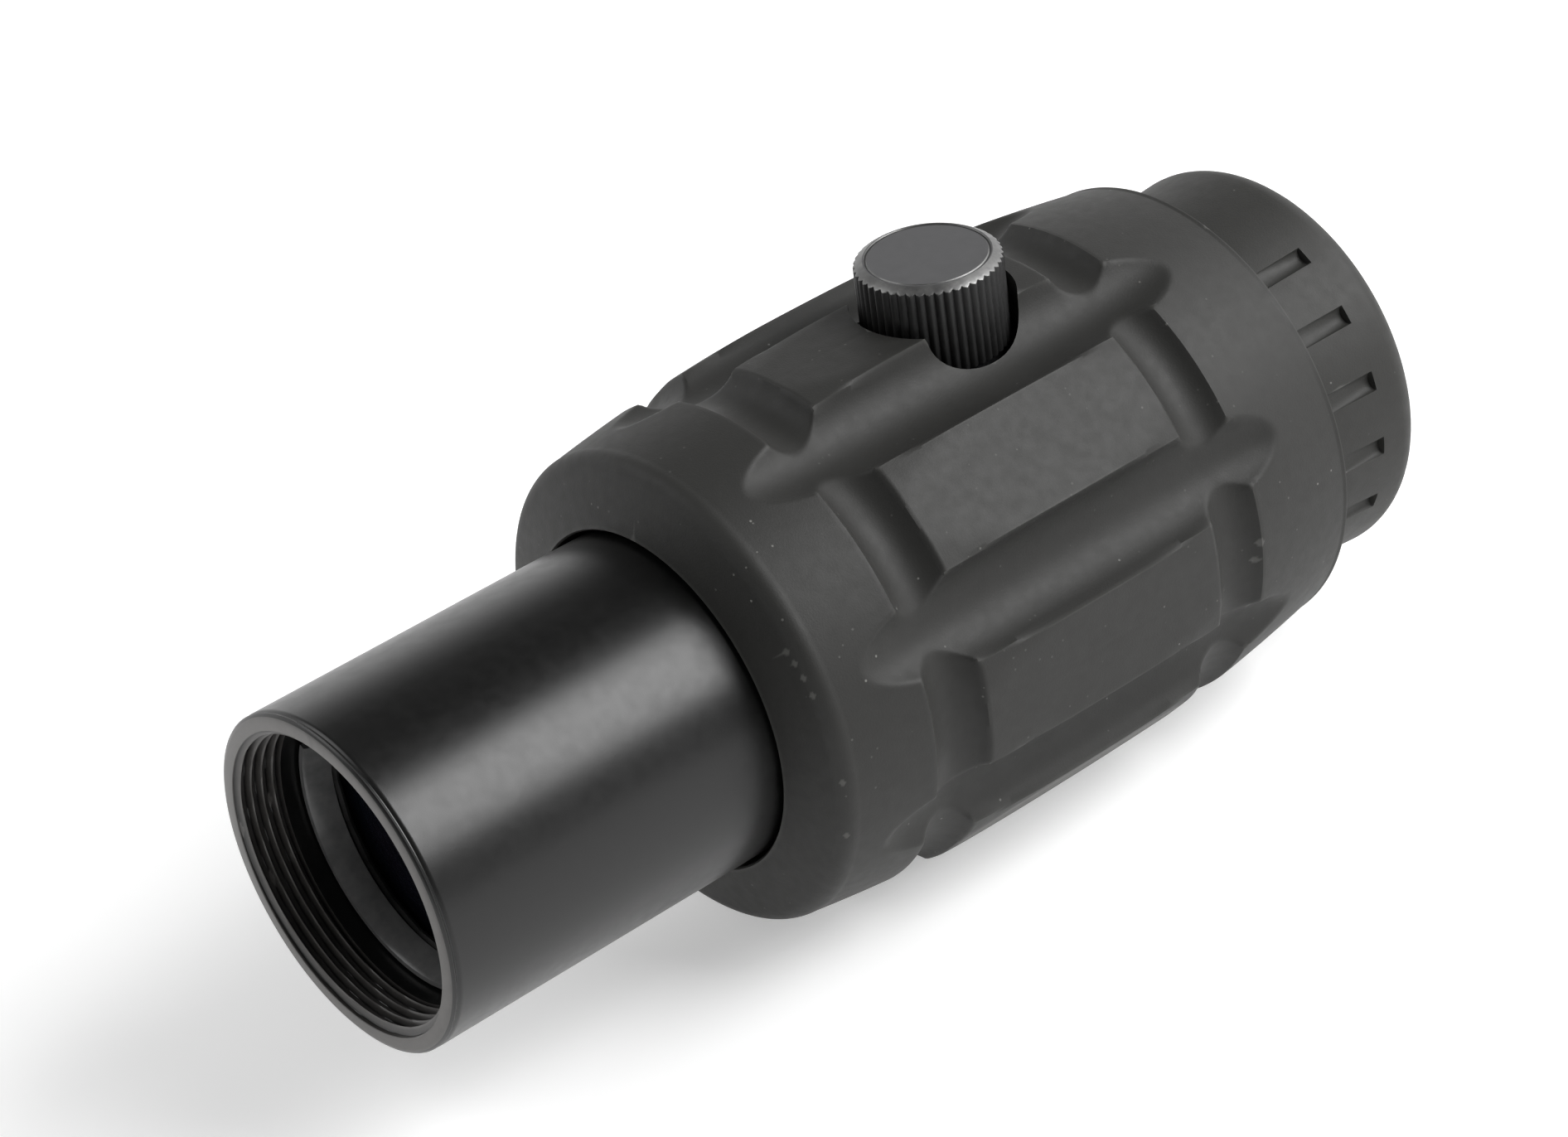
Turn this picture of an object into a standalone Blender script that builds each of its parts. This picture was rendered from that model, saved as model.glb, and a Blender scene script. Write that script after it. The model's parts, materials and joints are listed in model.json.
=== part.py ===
"""Finder scope: a 30 mm objective tube, a rubber armoured barrel with two capped
turrets, a gimballed erector inside it and a diopter eyepiece at the rear.

The optical axis lies along +X, with the objective at -X and the eyepiece at +X.
The origin is the centre of the flat armour panel that the scope rests on.
Stations are distances along the optical axis behind the objective lip.
Turret heights are distances from the optical axis.
"""

import math

import bmesh
import bpy

MM = 0.001

# Overall
PAD_STATION = 63.0 * MM          # station of the barrel's widest ring, and of the origin
AXIS_HEIGHT = 22.9 * MM          # optical axis above the flat panels
GAP = 0.3 * MM                   # assembly gap between pieces that touch

# Main tube
TUBE_RADIUS = 15.0 * MM
LIP_CHAMFER = 0.3 * MM
MOUTH_RADIUS = 13.5 * MM
MOUTH_DEPTH = 4.2 * MM
LENS_BORE_RADIUS = 12.9 * MM
LENS_SHOULDER_STATION = 17.4 * MM
THROAT_RADIUS = 11.0 * MM
FLARE_START = 36.5 * MM
FLARE_END = 40.0 * MM
CORE_RADIUS = 18.2 * MM
CORE_END = 92.6 * MM
CHAMBER_RADIUS = 14.6 * MM

# Rubber armour
ARMOR_FRONT = 33.2 * MM
ARMOR_REAR = 93.0 * MM
ARMOR_RADIUS = 23.45 * MM        # at its widest ring
BARREL_DROP = 2.8                # radius lost per square metre of distance from that ring
ARMOR_BORE_RADIUS = CORE_RADIUS + GAP
ARMOR_MOUTH_RADIUS = TUBE_RADIUS + 0.4 * MM
RIDGE_RADIUS = 20.0 * MM         # outer edge of the conical front face
RIDGE_SETBACK = 1.25 * MM
CORNER_SETBACK = 1.6 * MM        # where the face and barrel directions would cross
SHOULDER_LENGTH = 3.0 * MM
REAR_EDGE_BEVEL = 0.5 * MM
PANEL_COUNT = 8
RING_GROOVE_STATIONS = (46.3 * MM, 78.4 * MM)
RING_GROOVE_RADIUS = 3.1 * MM
RING_GROOVE_HALF_WIDTH = 2.75 * MM
LONG_GROOVE_STATION = 62.1 * MM
LONG_GROOVE_RADIUS = 4.6 * MM
LONG_GROOVE_OFFSET = 24.9 * MM   # cutter axis to optical axis
LONG_GROOVE_HALF_LENGTH = 26.5 * MM
CAP_HOLE_RADIUS = 7.1 * MM

# Objective group
RETAINER_STATION = 5.9 * MM
RETAINER_LENGTH = 2.3 * MM
RETAINER_RADIUS = LENS_BORE_RADIUS - GAP
OBJECTIVE_RADIUS = 12.5 * MM

# Turrets
TURRET_STATION = 66.9 * MM
SPOT_FACE_HEIGHT = 17.3 * MM
SPOT_FACE_RADIUS = 6.9 * MM
TURRET_BORE_RADIUS = 4.8 * MM
BASE_TOP = 23.2 * MM
NECK_RADIUS = 4.2 * MM
CAP_RADIUS = 6.29 * MM
CAP_BOTTOM = 18.8 * MM
CAP_BEVEL_HEIGHT = 26.2 * MM
CAP_TOP = 26.95 * MM
CAP_FACE_RADIUS = 5.45 * MM
PLUNGER_TIP = 10.3 * MM

# Erector and gimbal
PIVOT_STATION = 86.0 * MM
ERECTOR_FRONT = 58.5 * MM
ERECTOR_REAR = 89.0 * MM
ERECTOR_HEAD_RADIUS = 9.9 * MM
ERECTOR_BODY_RADIUS = 9.0 * MM
GIMBAL_INNER_RADIUS = 9.6 * MM
GIMBAL_OUTER_RADIUS = 11.6 * MM
SEAT_INNER_RADIUS = 12.2 * MM
SEAT_OUTER_RADIUS = CHAMBER_RADIUS - GAP
PIN_RADIUS = 0.6 * MM
PIN_HOLE_RADIUS = PIN_RADIUS + GAP

# Bias spring
SPRING_ANGLE = math.radians(135.0)
SPRING_HALF_LENGTH = 8.0 * MM
SPRING_FOOT = 4.0 * MM
SPRING_WIDTH = 3.0 * MM
SPRING_THICKNESS = 0.35 * MM
SPRING_END_HEIGHT = 14.0 * MM
SPRING_CREST_HEIGHT = 10.7 * MM
SPRING_SCREW_OFFSET = 10.0 * MM

# Eyepiece
EYE_TUBE_FRONT = 88.9 * MM
EYE_TUBE_REAR = 101.9 * MM
EYE_TUBE_BORE = 12.7 * MM
RING_FRONT = 93.4 * MM
RING_REAR = 105.4 * MM
RING_WEB = 102.4 * MM            # front face of the ring's rear web
RING_FRONT_RADIUS = 17.4 * MM
RING_RADIUS = 18.3 * MM
RING_REAR_ROUND = 2.4 * MM
RING_BORE_RADIUS = 14.7 * MM
RING_HOLE_RADIUS = 11.6 * MM
GRIP_SLOT_GROUPS = (-73.0, 107.0)   # degrees from straight up to the middle of each group
GRIP_SLOTS_PER_GROUP = 5
GRIP_SLOT_PITCH = 20.0              # degrees
GRIP_SLOT_END = 100.7 * MM
GRIP_SLOT_WIDTH = 2.0 * MM
GRIP_SLOT_FLOOR = 17.35 * MM
CELL_FRONT = 92.0 * MM
CELL_REAR = 105.0 * MM
CELL_RADIUS = 12.3 * MM
CELL_NECK_RADIUS = 11.2 * MM
CELL_BORE_RADIUS = 10.0 * MM
EYE_LENS_RADIUS = 9.7 * MM
LOCK_SCREW_STATION = 103.9 * MM
LOCK_SCREW_RADIUS = 0.7 * MM
LOCK_SCREW_ANGLES = (90.0, 180.0)

# Facet counts
ARMOR_SEGMENTS = 48
BODY_SEGMENTS = 48
CAP_SEGMENTS = 36
INNER_SEGMENTS = 20
PIN_SEGMENTS = 12
SMOOTH_ANGLE = math.radians(40.0)
CUTTER_TWIST = (0.0, 0.0, 0.05)  # keeps a cutter's facets off its target's edges


# ---------------------------------------------------------------- scene helpers

def clear_scene():
    """Remove whatever the file opened with."""
    for obj in list(bpy.data.objects):
        bpy.data.objects.remove(obj, do_unlink=True)


def new_collection(name):
    """A collection linked to the scene."""
    collection = bpy.data.collections.new(name)
    bpy.context.scene.collection.children.link(collection)
    return collection


def principled(name, color, roughness, metallic=0.0, transmission=0.0):
    """A material with a plain Principled surface."""
    material = bpy.data.materials.new(name)
    material.use_nodes = True
    shader = material.node_tree.nodes["Principled BSDF"]
    shader.inputs["Base Color"].default_value = (*color, 1.0)
    shader.inputs["Roughness"].default_value = roughness
    shader.inputs["Metallic"].default_value = metallic
    shader.inputs["Transmission Weight"].default_value = transmission
    material.diffuse_color = (*color, 1.0)
    return material


def axis_empty(name, location, rotation=(0.0, 0.0, 0.0)):
    """An empty whose +Z is the axis that pieces are placed along."""
    empty = bpy.data.objects.new(name, None)
    empty.location = location
    empty.rotation_euler = rotation
    empty.empty_display_size = 0.01
    bpy.context.scene.collection.objects.link(empty)
    return empty


def new_object(name, mesh, collection, parent, location, rotation, material):
    """Link a mesh object under its parent, with its material."""
    obj = bpy.data.objects.new(name, mesh)
    collection.objects.link(obj)
    obj.parent = parent
    obj.location = location
    obj.rotation_euler = rotation
    if material is not None:
        mesh.materials.append(material)
    return obj


# ---------------------------------------------------------------- modelling helpers

def turned(name, outline, collection, parent, at=0.0, material=None, location=None,
           rotation=(0.0, 0.0, 0.0), segments=INNER_SEGMENTS, solid=False):
    """Turn a (radius, height) outline about the object's Z axis.

    A solid outline starts and ends on the axis; any other is a closed ring section.
    """
    closing = list(zip(outline, outline[1:] + outline[:1]))
    area = sum(a[0] * b[1] - b[0] * a[1] for a, b in closing)
    points = outline if area < 0 else outline[::-1]
    mesh = bpy.data.meshes.new(name)
    edges = [(i, i + 1) for i in range(len(points) - 1)]
    if not solid:
        edges.append((len(points) - 1, 0))
    mesh.from_pydata([(r, 0.0, z) for r, z in points], edges, [])
    place = location if location is not None else (0.0, 0.0, at)
    obj = new_object(name, mesh, collection, parent, place, rotation, material)
    screw = obj.modifiers.new("turn", "SCREW")
    screw.axis = "Z"
    screw.angle = 2.0 * math.pi
    screw.steps = segments
    screw.render_steps = segments
    screw.use_merge_vertices = True
    screw.merge_threshold = 0.00001
    return obj


def rod_outline(radius, length):
    """Section of a plain rod standing on its origin."""
    return [(0.0, length), (radius, length), (radius, 0.0), (0.0, 0.0)]


def ring_outline(inner, outer, length):
    """Section of a plain ring."""
    return [(outer, length), (outer, 0.0), (inner, 0.0), (inner, length)]


def torus_outline(major, minor, sides=6):
    """Section of a seal ring."""
    turns = [2.0 * math.pi * i / sides for i in range(sides)]
    return [(major + minor * math.cos(a), minor * math.sin(a)) for a in turns]


def lens_outline(radius, edge, front_sag, rear_sag, steps=3):
    """Section of a lens; a positive sag bulges outwards, a negative one is hollow."""
    fractions = [i / steps for i in range(steps + 1)]
    front = [(radius * f, -front_sag * (1.0 - f * f)) for f in fractions]
    rear = [(radius * f, edge + rear_sag * (1.0 - f * f)) for f in reversed(fractions)]
    return front + rear


def cut(target, cutter, operation="DIFFERENCE"):
    """Cut the target with one cutter object."""
    boolean = target.modifiers.new(cutter.name, "BOOLEAN")
    boolean.operation = operation
    boolean.solver = "EXACT"
    boolean.object = cutter


def box_mesh(name, size):
    """A box centred on its origin."""
    mesh = bpy.data.meshes.new(name)
    shape = bmesh.new()
    bmesh.ops.create_cube(shape, size=1.0)
    bmesh.ops.scale(shape, verts=shape.verts, vec=size)
    shape.to_mesh(mesh)
    shape.free()
    return mesh


def finish_meshes(parts):
    """Apply every modifier and smooth the round faces."""
    bpy.context.view_layer.update()
    depsgraph = bpy.context.evaluated_depsgraph_get()
    finished = {}
    for obj in parts.objects:
        finished[obj] = bpy.data.meshes.new_from_object(obj.evaluated_get(depsgraph))
    for obj, mesh in finished.items():
        obj.modifiers.clear()
        obj.data = mesh
        mesh.name = obj.name
        mesh.shade_smooth()
        mesh.set_sharp_from_angle(angle=SMOOTH_ANGLE)


# ---------------------------------------------------------------- main tube

def main_tube_outline():
    """Objective tube, flare and barrel core in one turned piece."""
    return [
        (TUBE_RADIUS - LIP_CHAMFER, 0.0),
        (TUBE_RADIUS, LIP_CHAMFER),
        (TUBE_RADIUS, FLARE_START),
        (CORE_RADIUS, FLARE_END),
        (CORE_RADIUS, CORE_END),
        (CHAMBER_RADIUS, CORE_END),
        (CHAMBER_RADIUS, FLARE_END + 1.0 * MM),
        (THROAT_RADIUS, FLARE_START + 0.5 * MM),
        (THROAT_RADIUS, LENS_SHOULDER_STATION),
        (LENS_BORE_RADIUS, LENS_SHOULDER_STATION),
        (LENS_BORE_RADIUS, MOUTH_DEPTH),
        (MOUTH_RADIUS, MOUTH_DEPTH),
        (MOUTH_RADIUS, LIP_CHAMFER),
        (MOUTH_RADIUS + 0.2 * MM, 0.0),
    ]


def stepped_cutter_outline(bore_radius, seat_radius, bottom, step):
    """Section of a cutter for a bore with a wider seat above it."""
    top = 24.0 * MM
    return [(0.0, top), (seat_radius, top), (seat_radius, step), (bore_radius, step),
            (bore_radius, bottom), (0.0, bottom)]


def build_main_tube(parts, cutters, axes, materials):
    """The housing, with a bore and a spot face for each turret."""
    tube = turned("main_tube", main_tube_outline(), parts, axes["optical"],
                  material=materials["anodised"], segments=BODY_SEGMENTS)
    for side in ("elevation", "windage"):
        pocket = turned(side + "_pocket_cutter",
                        stepped_cutter_outline(TURRET_BORE_RADIUS, SPOT_FACE_RADIUS,
                                               8.0 * MM, SPOT_FACE_HEIGHT),
                        cutters, axes[side], rotation=CUTTER_TWIST, solid=True)
        cut(tube, pocket)
    hole = turned("spring_hole_cutter",
                  stepped_cutter_outline(1.1 * MM, 1.9 * MM, 12.0 * MM, 16.1 * MM),
                  cutters, axes["spring"], location=(SPRING_SCREW_OFFSET, 0.0, 0.0),
                  rotation=CUTTER_TWIST, segments=PIN_SEGMENTS, solid=True)
    cut(tube, hole)


# ---------------------------------------------------------------- rubber armour

def barrel_radius(station):
    """Smooth barrel curve of the armour, before any groove."""
    return ARMOR_RADIUS - BARREL_DROP * (station - PAD_STATION) ** 2


def ring_groove_edges(centre):
    """Stations where a ring groove meets the barrel curve."""
    return centre - RING_GROOVE_HALF_WIDTH, centre + RING_GROOVE_HALF_WIDTH


def armor_radius(station):
    """Outer radius of the armour with its two round-bottomed ring grooves."""
    radius = barrel_radius(station)
    for centre in RING_GROOVE_STATIONS:
        offset = abs(station - centre)
        if offset < RING_GROOVE_HALF_WIDTH:
            rise = math.sqrt(RING_GROOVE_RADIUS ** 2 - RING_GROOVE_HALF_WIDTH ** 2)
            cutter_axis = barrel_radius(centre) + rise
            radius = min(radius, cutter_axis - math.sqrt(RING_GROOVE_RADIUS ** 2 - offset ** 2))
    return radius


def shoulder_point(share):
    """A point on the rounding from the front face's ridge (0) to the barrel curve (1)."""
    end = ARMOR_FRONT + SHOULDER_LENGTH
    ridge = (RIDGE_RADIUS, ARMOR_FRONT + RIDGE_SETBACK)
    corner = (armor_radius(end), ARMOR_FRONT + CORNER_SETBACK)
    barrel = (armor_radius(end), end)
    weights = ((1.0 - share) ** 2, 2.0 * share * (1.0 - share), share ** 2)
    return tuple(weights[0] * a + weights[1] * b + weights[2] * c
                 for a, b, c in zip(ridge, corner, barrel))


def armor_outline():
    """Section of the armour, from the front face round to the bore."""
    shoulder_end = ARMOR_FRONT + SHOULDER_LENGTH
    points = [shoulder_point(step / 4) for step in range(4)]
    front_edges = ring_groove_edges(RING_GROOVE_STATIONS[0])
    rear_edges = ring_groove_edges(RING_GROOVE_STATIONS[1])
    knots = [shoulder_end, *front_edges, *rear_edges, ARMOR_REAR - REAR_EDGE_BEVEL]
    for start, end, count in zip(knots, knots[1:], (2, 5, 4, 5, 3)):
        for step in range(count):
            station = start + (end - start) * step / count
            points.append((armor_radius(station), station))
    points.append((armor_radius(knots[-1]), knots[-1]))
    points.append((armor_radius(knots[-1]) - REAR_EDGE_BEVEL, ARMOR_REAR))
    points.append((ARMOR_BORE_RADIUS, ARMOR_REAR))
    points.append((ARMOR_BORE_RADIUS, FLARE_END - 0.2 * MM))
    points.append((ARMOR_MOUTH_RADIUS, FLARE_START - 0.2 * MM))
    points.append((ARMOR_MOUTH_RADIUS, ARMOR_FRONT))
    return points


def spindle_outline():
    """Section of the pointed cutter that makes one lengthwise groove."""
    steps = 12
    points = []
    for step in range(steps + 1):
        reach = math.cos(math.pi * step / steps)
        radius = LONG_GROOVE_RADIUS * math.sqrt(max(0.0, 1.0 - reach ** 4))
        points.append((radius, reach * LONG_GROOVE_HALF_LENGTH))
    return points


def build_armor(parts, cutters, axes, materials):
    """The rubber sleeve: flat panels between long pointed grooves."""
    armor = turned("rubber_armor", armor_outline(), parts, axes["optical"],
                   material=materials["rubber"], segments=ARMOR_SEGMENTS)
    length = ARMOR_REAR - ARMOR_FRONT + 10.0 * MM
    mesh = bpy.data.meshes.new("panel_prism")
    shape = bmesh.new()
    corner = AXIS_HEIGHT / math.cos(math.pi / PANEL_COUNT)
    bmesh.ops.create_cone(shape, cap_ends=True, segments=PANEL_COUNT, radius1=corner,
                          radius2=corner, depth=length)
    shape.to_mesh(mesh)
    shape.free()
    prism = new_object("panel_prism", mesh, cutters, axes["optical"],
                       (0.0, 0.0, 0.5 * (ARMOR_REAR + ARMOR_FRONT)),
                       (0.0, 0.0, math.pi / PANEL_COUNT), None)
    cut(armor, prism, "INTERSECT")
    for index in range(PANEL_COUNT):
        angle = 2.0 * math.pi * (index + 0.5) / PANEL_COUNT
        place = (LONG_GROOVE_OFFSET * math.cos(angle), LONG_GROOVE_OFFSET * math.sin(angle),
                 LONG_GROOVE_STATION)
        spindle = turned("groove_cutter_%d" % index, spindle_outline(), cutters,
                         axes["optical"], location=place, segments=12, solid=True)
        cut(armor, spindle)
    for side in ("elevation", "windage"):
        hole = turned(side + "_cap_hole_cutter", rod_outline(CAP_HOLE_RADIUS, 15.0 * MM),
                      cutters, axes[side], at=12.0 * MM, segments=CAP_SEGMENTS, solid=True)
        cut(armor, hole)


# ---------------------------------------------------------------- objective

def build_objective(parts, axes, materials):
    """Doublet with its seal, threaded retainer and the baffle behind it."""
    optical = axes["optical"]
    retainer = [(RETAINER_RADIUS, 0.0), (RETAINER_RADIUS, RETAINER_LENGTH),
                (11.4 * MM, RETAINER_LENGTH), (12.0 * MM, 0.0)]
    turned("objective_retaining_ring", retainer, parts, optical, at=RETAINER_STATION,
           material=materials["anodised"], segments=CAP_SEGMENTS)
    turned("objective_seal", torus_outline(12.15 * MM, 0.35 * MM), parts, optical,
           at=8.85 * MM, material=materials["seal"])
    crown = lens_outline(OBJECTIVE_RADIUS, 2.6 * MM, 0.3 * MM, 1.0 * MM)
    turned("objective_crown_lens", crown, parts, optical, at=9.8 * MM,
           material=materials["glass"], solid=True)
    flint = lens_outline(OBJECTIVE_RADIUS, 4.2 * MM, -1.0 * MM, -0.5 * MM)
    turned("objective_flint_lens", flint, parts, optical, at=12.8 * MM,
           material=materials["glass"], solid=True)
    turned("chamber_baffle", ring_outline(8.5 * MM, CHAMBER_RADIUS - GAP, 1.6 * MM), parts,
           optical, at=42.0 * MM, material=materials["anodised"])


# ---------------------------------------------------------------- turrets

def turret_base_outline():
    """Spigot, flange and threaded neck, bored for the adjusting screw."""
    flange_top = 18.4 * MM
    pocket_floor = 20.5 * MM
    return [
        (4.5 * MM, 15.0 * MM),
        (4.5 * MM, SPOT_FACE_HEIGHT + GAP),
        (5.6 * MM, SPOT_FACE_HEIGHT + GAP),
        (5.6 * MM, flange_top),
        (NECK_RADIUS, flange_top),
        (NECK_RADIUS, BASE_TOP),
        (3.4 * MM, BASE_TOP),
        (3.4 * MM, pocket_floor),
        (1.8 * MM, pocket_floor),
        (1.8 * MM, 15.0 * MM),
    ]


def turret_cap_outline():
    """Cap with a bevelled rim, a threaded bore and a counterbore for its seal."""
    return [
        (0.0, CAP_TOP),
        (CAP_FACE_RADIUS, CAP_TOP),
        (CAP_RADIUS, CAP_BEVEL_HEIGHT),
        (CAP_RADIUS, CAP_BOTTOM),
        (5.65 * MM, CAP_BOTTOM),
        (5.65 * MM, 20.0 * MM),
        (4.55 * MM, 20.0 * MM),
        (4.55 * MM, BASE_TOP + 0.4 * MM),
        (0.0, BASE_TOP + 0.4 * MM),
    ]


def adjusting_screw_outline():
    """Slotted dial on a short stem."""
    return [
        (0.0, 22.6 * MM),
        (3.1 * MM, 22.6 * MM),
        (3.1 * MM, 20.8 * MM),
        (1.5 * MM, 20.8 * MM),
        (1.5 * MM, 17.0 * MM),
        (0.0, 17.0 * MM),
    ]


def build_turret(side, parts, cutters, axes, materials):
    """One adjustment turret: base, screw, plunger, seal and cap."""
    axis = axes[side]
    turned(side + "_turret_base", turret_base_outline(), parts, axis,
           material=materials["anodised"])
    turned(side + "_cap", turret_cap_outline(), parts, axis, material=materials["cap"],
           segments=CAP_SEGMENTS, solid=True)
    turned(side + "_cap_seal", torus_outline(4.95 * MM, 0.4 * MM), parts, axis,
           at=19.25 * MM, material=materials["seal"])
    screw = turned(side + "_screw", adjusting_screw_outline(), parts, axis,
                   material=materials["brass"], solid=True)
    slot = new_object(side + "_slot_cutter", box_mesh("slot", (8.0 * MM, 0.9 * MM, 1.6 * MM)),
                      cutters, axis, (0.0, 0.0, 22.6 * MM), (0.0, 0.0, 0.0), None)
    cut(screw, slot)
    turned(side + "_plunger", rod_outline(1.2 * MM, 16.4 * MM - PLUNGER_TIP), parts, axis,
           at=PLUNGER_TIP, material=materials["steel"], segments=PIN_SEGMENTS, solid=True)


# ---------------------------------------------------------------- erector

def build_gimbal(parts, cutters, axes, materials):
    """Seat ring, gimbal ring and the pins that the erector swings on."""
    optical = axes["optical"]
    seat = turned("gimbal_seat", ring_outline(SEAT_INNER_RADIUS, SEAT_OUTER_RADIUS, 5.0 * MM),
                  parts, optical, at=PIVOT_STATION - 2.5 * MM, material=materials["anodised"])
    gimbal = turned("gimbal_ring",
                    ring_outline(GIMBAL_INNER_RADIUS, GIMBAL_OUTER_RADIUS, 4.0 * MM),
                    parts, optical, at=PIVOT_STATION - 2.0 * MM, material=materials["brass"])
    across = turned("pin_bore_across", rod_outline(PIN_HOLE_RADIUS, 40.0 * MM), cutters,
                    axes["pivot_across"], at=-20.0 * MM, segments=PIN_SEGMENTS, solid=True)
    upright = turned("pin_bore_upright", rod_outline(PIN_HOLE_RADIUS, 24.0 * MM), cutters,
                     axes["pivot_upright"], at=-12.0 * MM, segments=PIN_SEGMENTS, solid=True)
    cut(seat, across)
    cut(gimbal, across)
    cut(gimbal, upright)
    outer_pin = rod_outline(PIN_RADIUS, 4.1 * MM)
    turned("gimbal_pin_left", outer_pin, parts, axes["pivot_across"], at=9.9 * MM,
           material=materials["steel"], segments=PIN_SEGMENTS, solid=True)
    turned("gimbal_pin_right", outer_pin, parts, axes["pivot_across"], at=-14.0 * MM,
           material=materials["steel"], segments=PIN_SEGMENTS, solid=True)
    inner_pin = rod_outline(PIN_RADIUS, 3.0 * MM)
    turned("gimbal_pin_top", inner_pin, parts, axes["pivot_upright"], at=8.3 * MM,
           material=materials["steel"], segments=PIN_SEGMENTS, solid=True)
    turned("gimbal_pin_bottom", inner_pin, parts, axes["pivot_upright"], at=-11.3 * MM,
           material=materials["steel"], segments=PIN_SEGMENTS, solid=True)
    return upright


def build_erector(parts, axes, materials, pin_cutter):
    """The image-erecting lens tube that the plungers tilt."""
    optical = axes["optical"]
    head_rear = 72.0 * MM
    outline = [
        (ERECTOR_HEAD_RADIUS, ERECTOR_FRONT),
        (ERECTOR_HEAD_RADIUS, head_rear),
        (ERECTOR_BODY_RADIUS, head_rear),
        (ERECTOR_BODY_RADIUS, ERECTOR_REAR),
        (7.9 * MM, ERECTOR_REAR),
        (7.9 * MM, 82.0 * MM),
        (7.4 * MM, 82.0 * MM),
        (7.4 * MM, 64.0 * MM),
        (8.4 * MM, 64.0 * MM),
        (8.4 * MM, ERECTOR_FRONT),
    ]
    tube = turned("erector_tube", outline, parts, optical, material=materials["anodised"])
    cut(tube, pin_cutter)
    turned("erector_front_ring", ring_outline(7.1 * MM, 8.1 * MM, 1.4 * MM), parts, optical,
           at=58.9 * MM, material=materials["anodised"])
    turned("erector_front_lens", lens_outline(8.1 * MM, 2.6 * MM, 0.5 * MM, 0.5 * MM), parts,
           optical, at=61.0 * MM, material=materials["glass"], solid=True)
    turned("erector_stop", ring_outline(4.5 * MM, 7.1 * MM, 1.2 * MM), parts, optical,
           at=73.0 * MM, material=materials["anodised"])
    turned("erector_rear_lens", lens_outline(7.6 * MM, 2.4 * MM, 0.5 * MM, 0.5 * MM), parts,
           optical, at=82.4 * MM, material=materials["glass"], solid=True)
    turned("erector_rear_ring", ring_outline(6.7 * MM, 7.6 * MM, 1.6 * MM), parts, optical,
           at=85.5 * MM, material=materials["anodised"])


def spring_height(offset):
    """Height of the bowed leaf above the optical axis, at a distance from its crest."""
    if abs(offset) >= SPRING_HALF_LENGTH:
        return SPRING_END_HEIGHT
    bow = 0.5 * (1.0 + math.cos(math.pi * offset / SPRING_HALF_LENGTH))
    return SPRING_END_HEIGHT - (SPRING_END_HEIGHT - SPRING_CREST_HEIGHT) * bow


def build_bias_spring(parts, cutters, axes, materials):
    """Leaf spring opposite the plungers, and the screw through its foot."""
    length = 2.0 * SPRING_HALF_LENGTH + SPRING_FOOT
    mesh = bpy.data.meshes.new("bias_spring")
    shape = bmesh.new()
    bmesh.ops.create_grid(shape, x_segments=20, y_segments=1, size=0.5)
    for vert in shape.verts:
        offset = (vert.co.x + 0.5) * length - SPRING_HALF_LENGTH
        vert.co = (offset, vert.co.y * SPRING_WIDTH, spring_height(offset))
    shape.to_mesh(mesh)
    shape.free()
    spring = new_object("bias_spring", mesh, parts, axes["spring"], (0.0, 0.0, 0.0),
                        (0.0, 0.0, 0.0), materials["steel"])
    solidify = spring.modifiers.new("thickness", "SOLIDIFY")
    solidify.thickness = SPRING_THICKNESS
    solidify.offset = 0.0
    hole = turned("spring_foot_cutter", rod_outline(1.1 * MM, 4.0 * MM), cutters,
                  axes["spring"], location=(SPRING_SCREW_OFFSET, 0.0, 12.0 * MM),
                  segments=PIN_SEGMENTS, solid=True)
    cut(spring, hole)
    screw = [(0.0, 17.8 * MM), (1.6 * MM, 17.8 * MM), (1.6 * MM, 16.4 * MM),
             (0.8 * MM, 16.4 * MM), (0.8 * MM, 13.4 * MM), (0.0, 13.4 * MM)]
    turned("spring_screw", screw, parts, axes["spring"],
           location=(SPRING_SCREW_OFFSET, 0.0, 0.0), material=materials["steel"],
           segments=PIN_SEGMENTS, solid=True)


# ---------------------------------------------------------------- eyepiece

def diopter_ring_outline():
    """Flared grip ring with a rounded rear edge and a rear web."""
    flare_rear = RING_REAR - RING_REAR_ROUND
    points = [(RING_FRONT_RADIUS, RING_FRONT)]
    for step in range(5):
        angle = 0.5 * math.pi * step / 4
        points.append((RING_RADIUS - RING_REAR_ROUND * (1.0 - math.cos(angle)),
                       flare_rear + RING_REAR_ROUND * math.sin(angle)))
    points.append((RING_HOLE_RADIUS, RING_REAR))
    points.append((RING_HOLE_RADIUS, RING_WEB))
    points.append((RING_BORE_RADIUS, RING_WEB))
    points.append((RING_BORE_RADIUS, RING_FRONT))
    return points


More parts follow.
